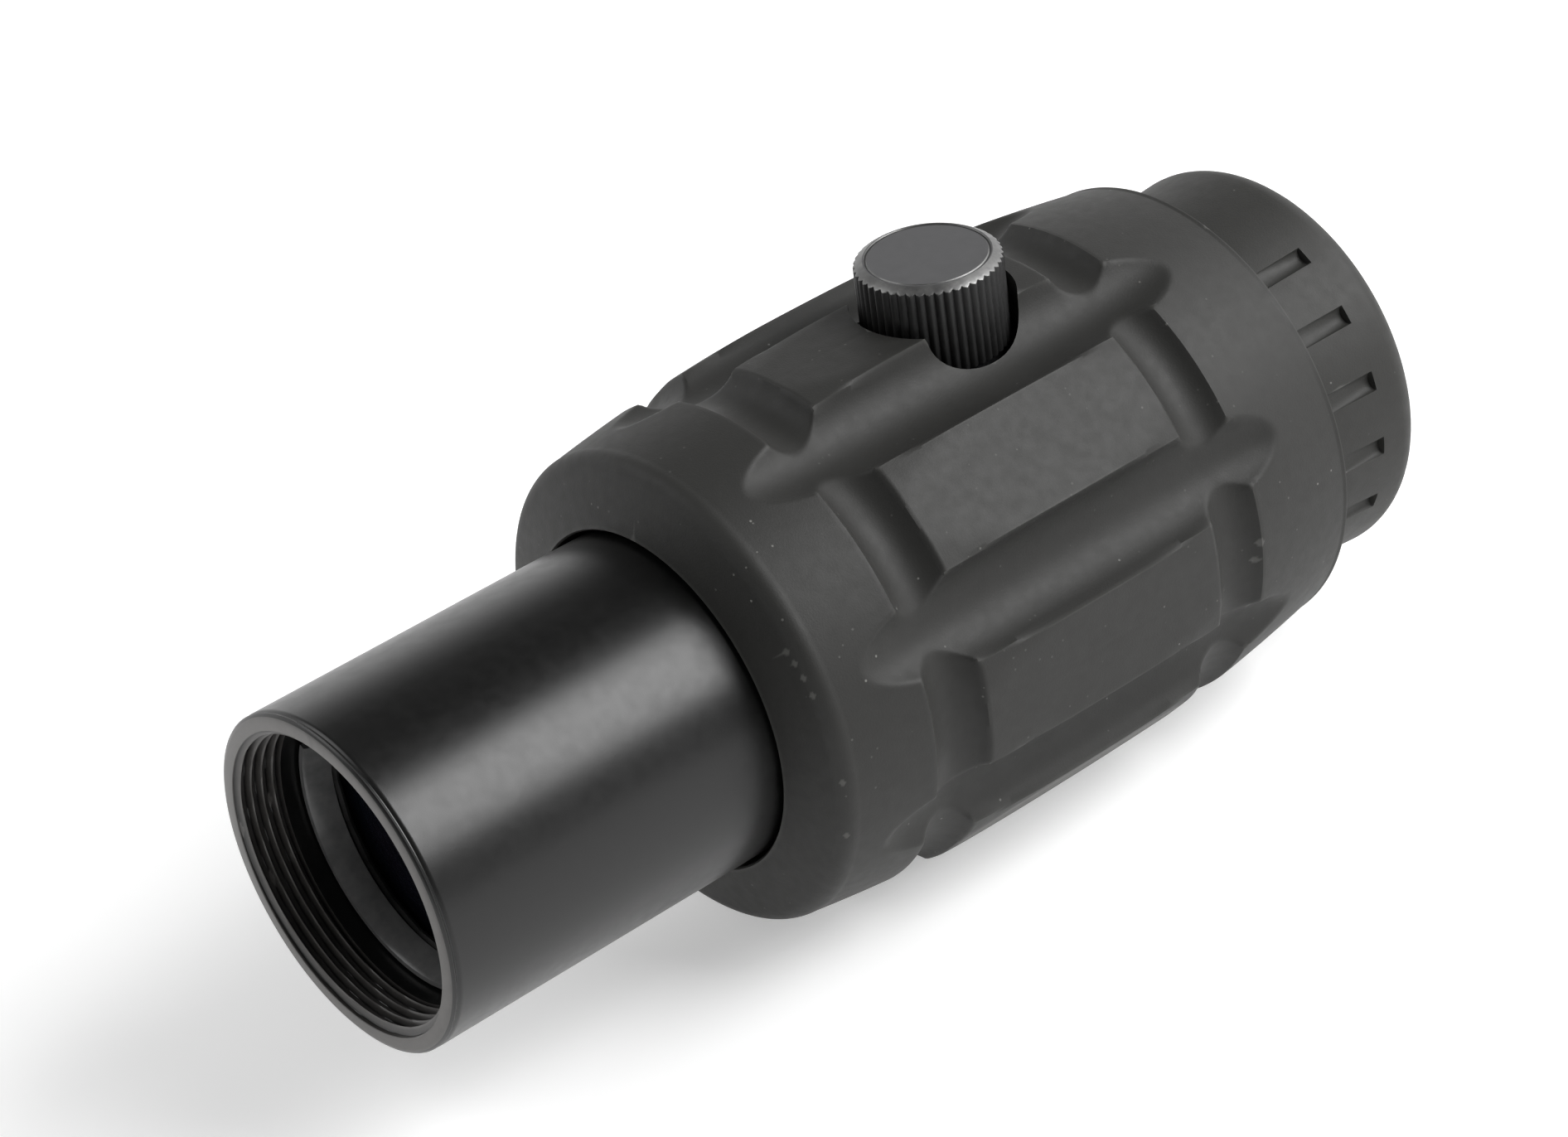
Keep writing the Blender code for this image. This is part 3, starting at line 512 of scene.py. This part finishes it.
def armor_radius(angles, station, radii):
    """Outer surface: barrel, flat panels, two ring grooves and the long grooves."""
    surface = np.full(len(angles), barrel_radius(station))
    pitch = TAU / PANEL_COUNT
    from_panel = (angles + 0.5 * pitch) % pitch - 0.5 * pitch
    crown = PANEL_CROWN * ((station - PAD_STATION) ** 2 + (ARMOR_RADIUS * from_panel) ** 2)
    surface = smooth_min(surface, (PANEL_FLAT - crown) / np.cos(from_panel), PANEL_BLEND)
    for centre in RING_GROOVE_STATIONS:
        offset = abs(station - centre)
        if offset < RING_GROOVE_RADIUS:
            rise = math.sqrt(RING_GROOVE_RADIUS ** 2 - RING_GROOVE_HALF_WIDTH ** 2)
            bottom = barrel_radius(centre) + rise - math.sqrt(
                RING_GROOVE_RADIUS ** 2 - offset ** 2)
            surface = smooth_min(surface, bottom, GROOVE_BLEND)
    reach = (station - LONG_GROOVE_STATION) / LONG_GROOVE_HALF_LENGTH
    if abs(reach) < 1.0:
        cutter = LONG_GROOVE_RADIUS * math.sqrt(1.0 - reach ** 4)
        from_groove = angles % pitch - 0.5 * pitch
        sideways = LONG_GROOVE_OFFSET * np.sin(from_groove)
        depth = np.sqrt(np.maximum(cutter ** 2 - sideways ** 2, 0.0))
        groove = LONG_GROOVE_OFFSET * np.cos(from_groove) - depth
        surface = smooth_min(surface, groove, GROOVE_BLEND)
    return surface


def make_armor():
    """Moulded rubber sleeve with its two cap holes."""
    shoulder_end = ARMOR_FRONT + SHOULDER_LENGTH
    inner = [(ARMOR_MOUTH_RADIUS, ARMOR_FRONT + 0.15 * MM), (15.55 * MM, ARMOR_FRONT)]
    ridge = np.array([RIDGE_RADIUS, ARMOR_FRONT + RIDGE_SETBACK])
    corner = np.array([barrel_radius(shoulder_end), ARMOR_FRONT + CORNER_SETBACK])
    barrel = np.array([barrel_radius(shoulder_end), shoulder_end])
    face = [tuple(inner[1] + (ridge - inner[1]) * share) for share in FACE_SHARES]
    shoulder = []
    for share in np.linspace(0.0, 1.0, SHOULDER_ROWS):
        shoulder.append(tuple((1.0 - share) ** 2 * ridge + 2.0 * share * (1.0 - share) * corner
                              + share ** 2 * barrel))
    rear_edge = ARMOR_REAR - 0.45 * MM
    stations = np.linspace(shoulder_end, rear_edge, ARMOR_ROWS)
    outer = [(barrel_radius(s), float(s)) for s in stations[1:]]
    outline = inner + face + shoulder + outer
    end_radius = barrel_radius(rear_edge)
    outline += [(end_radius + 0.05 * MM, ARMOR_REAR - 0.28 * MM),
                (end_radius + 0.03 * MM, ARMOR_REAR - 0.10 * MM),
                (end_radius - 0.12 * MM, ARMOR_REAR),
                (ARMOR_BORE, ARMOR_REAR),
                (ARMOR_BORE, 39.8 * MM),
                (ARMOR_MOUTH_RADIUS, 36.3 * MM)]

    def radius_at(angles, station, radii):
        inside = radii[0] < ARMOR_BORE + 0.5 * MM
        if inside or station < shoulder_end or station > rear_edge + 1e-7:
            return radii
        return armor_radius(angles, station, radii)

    armor = turned("armor_sleeve", outline, even_angles(ARMOR_SEGMENTS), radius_at)
    cutters = [cylinder_cutter("hole_" + side, side, CAP_HOLE_RADIUS, CAP_HOLE_LOW, CAP_HOLE_HIGH)
               for side in ("elevation", "windage")]
    subtract(armor, cutters)
    armor.data.materials.append(MATERIALS["armor"])
    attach(armor, "housing")
    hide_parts("rubber_armor")


# ---------------------------------------------------------------- main tube

def thread_radius(angles, station, radii):
    """Inner thread: narrow rounded crests along a helix that fades out at both ends."""
    fade = min(1.0, (station - THREAD_START) / THREAD_FADE, (THREAD_END - station) / THREAD_FADE)
    if fade <= 0.0:
        return radii
    phase = (station / THREAD_PITCH - angles / TAU + THREAD_PHASE) % 1.0
    crest = np.clip(CREST_CAP - np.abs(phase - 0.5) / CREST_SPREAD, 0.0, 1.0)
    return radii - THREAD_DEPTH * fade * crest


def make_main_tube():
    """Housing with a threaded mouth, a grooved lip and the turret pockets."""
    outline = [(TUBE_RADIUS - depth * MM, station * MM) for depth, station in LIP_PROFILE]
    outline += [(TUBE_RADIUS, station) for station in (
        0.95 * MM, 1.2 * MM, 12.0 * MM, 24.0 * MM, TUBE_END - 0.3 * MM, TUBE_END)]
    outline += [(HOUSING_RADIUS, HOUSING_START), (HOUSING_RADIUS, HOUSING_END),
                (HOUSING_BORE, HOUSING_END), (HOUSING_BORE, HOUSING_START + 1.0 * MM),
                (THROAT_RADIUS, TUBE_END + 0.5 * MM), (THROAT_RADIUS, BORE_END),
                (BORE_RADIUS, BORE_END), (BORE_RADIUS, THREAD_END + 0.1 * MM),
                (MOUTH_RADIUS, THREAD_END)]
    for step in range(1, THREAD_ROWS):
        station = THREAD_END + (THREAD_START - THREAD_END) * step / THREAD_ROWS
        outline.append((MOUTH_RADIUS, station))
    outline += [(MOUTH_RADIUS, THREAD_START), (MOUTH_RADIUS, 0.05 * MM),
                (MOUTH_RADIUS + 0.05 * MM, 0.0)]

    def radius_at(angles, station, radii):
        if abs(radii[0] - MOUTH_RADIUS) > 1e-7:
            return radii
        return thread_radius(angles, station, radii)

    tube = turned("objective_tube", outline, even_angles(THREAD_SEGMENTS), radius_at)
    cutters = []
    for side in ("elevation", "windage"):
        cutters.append(cylinder_cutter("bore_" + side, side, TURRET_BORE_RADIUS,
                                       TURRET_BORE_LOW, TURRET_CUT_HIGH))
        cutters.append(cylinder_cutter("seat_" + side, side, TURRET_SEAT_RADIUS,
                                       TURRET_SEAT_LOW, TURRET_CUT_HIGH))
    subtract(tube, cutters)
    tube.data.materials.append(MATERIALS["tube"])
    tube.data.materials.append(MATERIALS["mouth"])
    # the lip face and the mouth get the lighter copy of the anodising: painted light
    for face in tube.data.polygons:
        station = face.center.x - LIP_X
        radius = math.hypot(face.center.y, face.center.z - AXIS_Z)
        if station < 0.04 * MM or (station < LIGHTENED_MOUTH_DEPTH and radius < TUBE_RADIUS - 1.0 * MM):
            face.material_index = 1
    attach(tube, "housing")
    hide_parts("main_tube")


# ---------------------------------------------------------------- objective, seen in the mouth

def make_retainer():
    """Threaded ring that holds the objective, conical inside, with spanner notches."""
    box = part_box("objective_retaining_ring")
    front, rear = stations_of("objective_retaining_ring")
    outer = 0.5 * (box[1][2] - box[0][2]) - 0.02 * MM
    outline = [(outer, front), (outer, rear), (11.4 * MM, rear), (11.45 * MM, rear - 0.3 * MM),
               (11.95 * MM, front + 0.25 * MM), (12.1 * MM, front)]
    ring = turned("objective_retainer", outline, even_angles(RETAINER_SEGMENTS))
    notch = bpy.data.meshes.new("notch")
    shape = bmesh.new()
    bmesh.ops.create_cube(shape, size=1.0)
    bmesh.ops.scale(shape, verts=shape.verts, vec=NOTCH_SIZE)
    bmesh.ops.rotate(shape, verts=shape.verts, cent=(0.0, 0.0, 0.0),
                     matrix=Matrix.Rotation(NOTCH_ANGLE, 3, "X"))
    bmesh.ops.translate(shape, verts=shape.verts, vec=(LIP_X + front, 0.0, AXIS_Z))
    shape.to_mesh(notch)
    shape.free()
    cutter = bpy.data.objects.new("notch", notch)
    bpy.context.scene.collection.objects.link(cutter)
    subtract(ring, [cutter])
    ring.data.materials.append(MATERIALS["retainer"])
    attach(ring, "housing")
    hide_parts("objective_retaining_ring")


def lens_outline(radius, front, rear, front_sag, rear_sag):
    """Section of a lens between its edge stations."""
    fractions = [i / LENS_STEPS for i in range(LENS_STEPS + 1)]
    face = [(radius * f, front - front_sag * (1.0 - f * f)) for f in fractions]
    back = [(radius * f, rear + rear_sag * (1.0 - f * f)) for f in reversed(fractions)]
    return face + back


def make_lens(node, name, body, radius, front_sag, rear_sag):
    """A finely turned lens in the place of its CAD node."""
    front, rear = stations_of(node)
    outline = lens_outline(radius, front + front_sag, rear - rear_sag, front_sag, rear_sag)
    lens = turned(name, outline, even_angles(LENS_SEGMENTS), closed=False)
    lens.data.materials.append(MATERIALS["glass"])
    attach(lens, body)
    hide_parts(node)


# ---------------------------------------------------------------- turret caps

def knurl_angles():
    """Sampling angles with the same few points on every tooth."""
    return [TAU * (tooth + step) / KNURL_COUNT
            for tooth in range(KNURL_COUNT) for step in KNURL_STEPS]


def make_cap(side):
    """Knurled cap: straight teeth, a bright bevel and a smooth, slightly dished top."""
    bevel_low = CAP_TOP - CAP_BEVEL_HEIGHT

    def side_radius(station):
        fall = max(0.0, (station - bevel_low) / CAP_BEVEL_HEIGHT)
        return CAP_RADIUS - (CAP_RADIUS - CAP_FACE_RADIUS) * min(1.0, fall) ** 1.25

    rows = [CAP_BOTTOM + 0.12 * MM, CAP_BOTTOM + 0.6 * MM, CAP_BOTTOM + 2.0 * MM,
            CAP_BOTTOM + 3.6 * MM, CAP_BOTTOM + 5.2 * MM, bevel_low - 0.9 * MM,
            bevel_low - 0.3 * MM]
    rows += [bevel_low + CAP_BEVEL_HEIGHT * i / CAP_BEVEL_ROWS for i in range(CAP_BEVEL_ROWS + 1)]
    outline = [(0.0, CAP_SOCKET_HIGH), (CAP_SOCKET_RADIUS, CAP_SOCKET_HIGH),
               (CAP_SOCKET_RADIUS, CAP_SOCKET_LOW), (CAP_CAVITY_RADIUS, CAP_SOCKET_LOW),
               (CAP_CAVITY_RADIUS, CAP_BOTTOM), (CAP_RADIUS - 0.3 * MM, CAP_BOTTOM)]
    outline += [(side_radius(row), row) for row in rows]
    outline += [(5.36 * MM, CAP_TOP), (5.30 * MM, CAP_TOP - 0.10 * MM),
                (5.18 * MM, CAP_TOP - 0.11 * MM), (5.08 * MM, CAP_TOP - 0.03 * MM),
                (3.5 * MM, CAP_TOP - 0.03 * MM), (0.0, CAP_TOP - 0.03 * MM)]

    def radius_at(angles, station, radii):
        if station < CAP_BOTTOM + 0.05 * MM or radii[0] < CAP_FACE_RADIUS - 0.01 * MM:
            return radii
        phase = (angles * KNURL_COUNT / TAU) % 1.0
        valley = np.abs(2.0 * phase - 1.0) ** 1.6
        toothed = CAP_RADIUS - KNURL_DEPTH * valley
        return np.minimum(radii, toothed)

    cap = turned(side + "_knurled_cap", outline, knurl_angles(), radius_at, axis=side,
                 closed=False, smooth_angle=28.0)
    cap.data.materials.append(MATERIALS["cap"])
    cap.data.materials.append(MATERIALS["bright"])
    cap.data.materials.append(MATERIALS["cap_top"])
    axis_index = 2 if side == "elevation" else 1
    axis_zero = AXIS_Z if side == "elevation" else 0.0
    # bevel faces get bare metal; the flat top gets the lighter copy of the cap's anodising:
    # painted reflection
    for face in cap.data.polygons:
        height = face.center[axis_index] - axis_zero
        leans = abs(face.normal[axis_index])
        if height > bevel_low and 0.25 < leans < 0.93:
            face.material_index = 1
        elif height > CAP_TOP - 0.1 * MM and leans > 0.99:
            face.material_index = 2
    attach(cap, side + "_cap")
    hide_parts(side + "_cap")


# ---------------------------------------------------------------- diopter ring

def ring_angles():
    """Sampling angles, closer together at the slot walls."""
    half = SLOT_HALF_WIDTH / GRIP_RADIUS
    local = [half * share for share in (0.0, 0.3, 0.55, 0.75, 0.88, 0.96, 1.0, 1.1, 1.3)]
    local += [0.32 * SLOT_PITCH, 0.41 * SLOT_PITCH]
    local = sorted({-v for v in local[1:]} | set(local) | {0.5 * SLOT_PITCH})
    count = round(TAU / SLOT_PITCH)
    return [SLOT_GROUPS[0] + SLOT_PITCH * k + v for k in range(count) for v in local]


def slot_offset(angles):
    """Angle from the nearest slot's middle; large where there is no slot."""
    nearest = np.full(len(angles), math.pi)
    reach = (SLOTS_PER_GROUP - 1) // 2
    for group in SLOT_GROUPS:
        for step in range(-reach, reach + 1):
            turn = angles - group - step * SLOT_PITCH
            turn = (turn + math.pi) % TAU - math.pi
            nearest = np.minimum(nearest, np.abs(turn))
    return nearest


def make_diopter_ring():
    """Flared grip ring with hollow front slots that deepen towards a square end wall."""
    flare_end = RING_REAR - GRIP_ROUNDING

    def flare(station):
        share = (station - RING_FRONT) / (flare_end - RING_FRONT)
        return GRIP_FRONT_RADIUS + (GRIP_RADIUS - GRIP_FRONT_RADIUS) * share ** 0.8

    wall = (SLOT_END - 0.12 * MM, SLOT_END, SLOT_END + 0.1 * MM, SLOT_END + 0.2 * MM)
    rows = [RING_FRONT + 0.25 * MM]
    rows += [RING_FRONT + (wall[0] - RING_FRONT) * i / 10 for i in range(1, 10)]
    rows += list(wall) + [SLOT_END + 0.9 * MM, SLOT_END + 1.6 * MM]
    outline = [(14.7 * MM, RING_FRONT + 0.2 * MM), (14.9 * MM, RING_FRONT),
               (GRIP_FRONT_RADIUS - 0.25 * MM, RING_FRONT)]
    outline += [(flare(row), row) for row in rows]
    centre = (GRIP_RADIUS - GRIP_ROUNDING, flare_end)
    outline += [(radius, min(station, RING_REAR))
                for radius, station in arc(centre, GRIP_ROUNDING, 0.0, 90.0, 12)]
    outline += [(14.6 * MM, RING_REAR), (14.3 * MM, RING_REAR - 0.25 * MM),
                (12.3 * MM, RING_REAR - 0.35 * MM), (11.85 * MM, RING_REAR - 0.2 * MM),
                (11.6 * MM, RING_REAR - 0.45 * MM), (11.6 * MM, 102.4 * MM),
                (14.7 * MM, 102.4 * MM)]
    half = SLOT_HALF_WIDTH / GRIP_RADIUS

    def radius_at(angles, station, radii):
        if radii[0] < GRIP_FRONT_RADIUS - 0.3 * MM or station > SLOT_END - 0.05 * MM:
            return radii
        offset = slot_offset(angles)
        share = (station - ARMOR_REAR) / (SLOT_END - ARMOR_REAR)
        share = max(share, 0.0) ** 1.3
        depth = SLOT_DEPTH_FRONT + (SLOT_DEPTH_WALL - SLOT_DEPTH_FRONT) * share
        across = np.maximum(1.0 - (offset / half) ** 2, 0.0)
        return radii - depth * across ** 0.6

    ring = turned("diopter_grip", outline, ring_angles(), radius_at, smooth_angle=40.0)
    ring.data.materials.append(MATERIALS["grip"])
    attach(ring, "diopter")
    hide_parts("diopter_ring")


def make_eyepiece_rim():
    """Rear end of the lens cell and its retaining ring, as seen from behind."""
    front, rear = stations_of("eyepiece_retaining_ring")
    outline = [(9.68 * MM, front), (9.68 * MM, rear - 0.15 * MM), (9.55 * MM, rear),
               (9.2 * MM, rear), (8.6 * MM, front + 0.5 * MM), (8.6 * MM, front)]
    ring = turned("eyepiece_retainer", outline, even_angles(RETAINER_SEGMENTS))
    ring.data.materials.append(MATERIALS["retainer"])
    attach(ring, "diopter")
    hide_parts("eyepiece_retaining_ring")
    front, rear = stations_of("eyepiece_cell")
    outline = [(12.3 * MM, front), (12.3 * MM, 95.4 * MM), (11.2 * MM, 95.4 * MM),
               (11.2 * MM, 97.0 * MM), (12.3 * MM, 97.0 * MM), (12.3 * MM, 102.0 * MM),
               (11.2 * MM, 102.0 * MM), (11.2 * MM, rear - 0.25 * MM),
               (10.95 * MM, rear), (10.2 * MM, rear), (10.0 * MM, rear - 0.2 * MM),
               (10.0 * MM, 93.0 * MM), (9.0 * MM, 93.0 * MM), (9.0 * MM, front)]
    cell = turned("lens_cell", outline, even_angles(RETAINER_SEGMENTS))
    cell.data.materials.append(MATERIALS["tube"])
    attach(cell, "diopter")
    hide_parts("eyepiece_cell")


# ---------------------------------------------------------------- CAD nodes that stay

def finish_cad_nodes():
    """Give every carried-over CAD node a material made of nodes."""
    by_slot = {
        "black_anodised": MATERIALS["inner"],
        "cap_anodised": MATERIALS["cap"],
        "armor_rubber": MATERIALS["armor"],
        "grip_rubber": MATERIALS["grip"],
        "seal_rubber": MATERIALS["seal"],
        "coated_glass": MATERIALS["glass"],
        "brass": MATERIALS["brass"],
        "steel": MATERIALS["steel"],
    }
    for row in frame["record"]["subparts"]:
        obj = frame["nodes"][row["node"]]
        obj.data.materials.clear()
        obj.data.materials.append(by_slot[row["material_slot"]])


# ---------------------------------------------------------------- stage

def make_floor():
    """Large pale floor under the resting panel."""
    mesh = bpy.data.meshes.new("floor")
    shape = bmesh.new()
    bmesh.ops.create_grid(shape, x_segments=1, y_segments=1, size=FLOOR_HALF_SIZE)
    bmesh.ops.translate(shape, verts=shape.verts, vec=(0.0, 0.0, CAD_BOUNDS[0][2]))
    shape.to_mesh(mesh)
    shape.free()
    floor = bpy.data.objects.new("floor", mesh)
    bpy.context.scene.collection.objects.link(floor)
    mesh.materials.append(floor_material())


def add_area_light(name, location, target, size, power):
    """A soft rectangular light aimed at a point."""
    data = bpy.data.lights.new(name, "AREA")
    data.shape = "RECTANGLE"
    data.size = size[0]
    data.size_y = size[1]
    data.energy = power
    light = bpy.data.objects.new(name, data)
    light.location = location
    direction = Vector(target) - Vector(location)
    light.rotation_euler = direction.to_track_quat("-Z", "Y").to_euler()
    bpy.context.scene.collection.objects.link(light)


def make_world():
    """White sweep round the horizon: brightest behind, dim on the left, dark overhead."""
    world = bpy.data.worlds.new("studio")
    world.use_nodes = True
    tree = world.node_tree
    background = tree.nodes["Background"]
    coords = tree.nodes.new("ShaderNodeTexCoord")
    split = tree.nodes.new("ShaderNodeSeparateXYZ")
    tree.links.new(coords.outputs["Generated"], split.inputs["Vector"])
    facing = tree.nodes.new("ShaderNodeVectorMath")
    facing.operation = "DOT_PRODUCT"
    facing.inputs[1].default_value = BRIGHT_SIDE
    tree.links.new(coords.outputs["Generated"], facing.inputs[0])
    around = tree.nodes.new("ShaderNodeMapRange")
    around.inputs["From Min"].default_value = -SWEEP_REACH
    around.inputs["From Max"].default_value = SWEEP_REACH
    around.inputs["To Min"].default_value = DIM_BRIGHTNESS
    around.inputs["To Max"].default_value = SWEEP_BRIGHTNESS
    tree.links.new(facing.outputs["Value"], around.inputs["Value"])
    fall = tree.nodes.new("ShaderNodeMapRange")
    fall.interpolation_type = "SMOOTHSTEP"
    fall.inputs["From Min"].default_value = SWEEP_LOW
    fall.inputs["From Max"].default_value = SWEEP_HIGH
    fall.inputs["To Max"].default_value = CEILING_BRIGHTNESS
    tree.links.new(around.outputs["Result"], fall.inputs["To Min"])
    tree.links.new(split.outputs["Z"], fall.inputs["Value"])
    tree.links.new(fall.outputs["Result"], background.inputs["Strength"])
    background.inputs["Color"].default_value = (1.0, 1.0, 1.0, 1.0)
    bpy.context.scene.world = world
    bpy.context.scene.view_settings.view_transform = "Standard"


def make_lights():
    """A key softbox over the near side, a weaker one far left and one at the eye end."""
    for name, location, size, power in SOFTBOXES:
        add_area_light(name, location, LIGHT_TARGET, size, power)


def make_camera():
    """Camera at the photograph's viewing angle."""
    back = Vector((math.sin(CAMERA_AZIMUTH) * math.cos(CAMERA_ELEVATION),
                   -math.cos(CAMERA_AZIMUTH) * math.cos(CAMERA_ELEVATION),
                   math.sin(CAMERA_ELEVATION)))
    data = bpy.data.cameras.new("photo_camera")
    data.sensor_width = CAMERA_SENSOR
    data.lens = CAMERA_LENS
    data.shift_x, data.shift_y = CAMERA_SHIFT
    data.clip_start = 0.01
    data.clip_end = 20.0
    camera = bpy.data.objects.new("photo_camera", data)
    place_at = Vector(CAMERA_TARGET) + back * CAMERA_DISTANCE
    look = back.to_track_quat("Z", "Y").to_matrix().to_4x4()
    camera.matrix_world = (Matrix.Translation(place_at) @ look
                           @ Matrix.Rotation(CAMERA_ROLL, 4, "Z"))
    bpy.context.scene.collection.objects.link(camera)
    bpy.context.scene.camera = camera


MATERIALS = {
    "armor": rubber("armor_rubber_fine", (0.0185, 0.0183, 0.0168)),
    "grip": rubber("grip_rubber_fine", (0.022, 0.0218, 0.020), 0.03),
    "seal": rubber("seal_rubber_fine", (0.012, 0.012, 0.012), 0.0),
    "tube": anodised("tube_anodised_fine"),
    "inner": anodised("inner_anodised_fine", (0.012, 0.012, 0.013), (0.35, 0.5), 0.2),
    # lighter copy of the tube's black anodising: painted light, with painted shade in the thread
    # hollows
    "mouth": anodised("mouth_painted_light_and_shade", (0.085, 0.081, 0.077), (0.30, 0.36), 0.0, 0.05),
    "retainer": anodised("retainer_anodised_fine", (0.10, 0.10, 0.10), (0.22, 0.26), 0.0),
    "cap": anodised("cap_anodised_fine", (0.008, 0.008, 0.008), (0.42, 0.52), 0.2),
    # lighter copy of the cap's black anodising for its top: painted reflection
    "cap_top": anodised("cap_top_painted_reflection", (0.050, 0.050, 0.052), (0.36, 0.44), 0.0),
    "bright": bright_edge("cap_worn_bevel"),
    "glass": coated_glass("lens_glass_fine"),
    "brass": machined("brass_fine", (0.62, 0.46, 0.22), 0.3),
    "steel": machined("steel_fine", (0.50, 0.50, 0.51), 0.28),
}

make_camera()
finish_cad_nodes()
make_armor()
make_main_tube()
make_retainer()
make_lens("objective_crown_lens", "objective_front_glass", "housing", 12.45 * MM, 0.3 * MM,
          1.0 * MM)
for turret in ("elevation", "windage"):
    make_cap(turret)
make_diopter_ring()
make_eyepiece_rim()
make_lens("eye_rear_lens", "eye_lens_glass", "diopter", 9.65 * MM, 0.4 * MM, 0.8 * MM)
make_floor()
make_world()
make_lights()
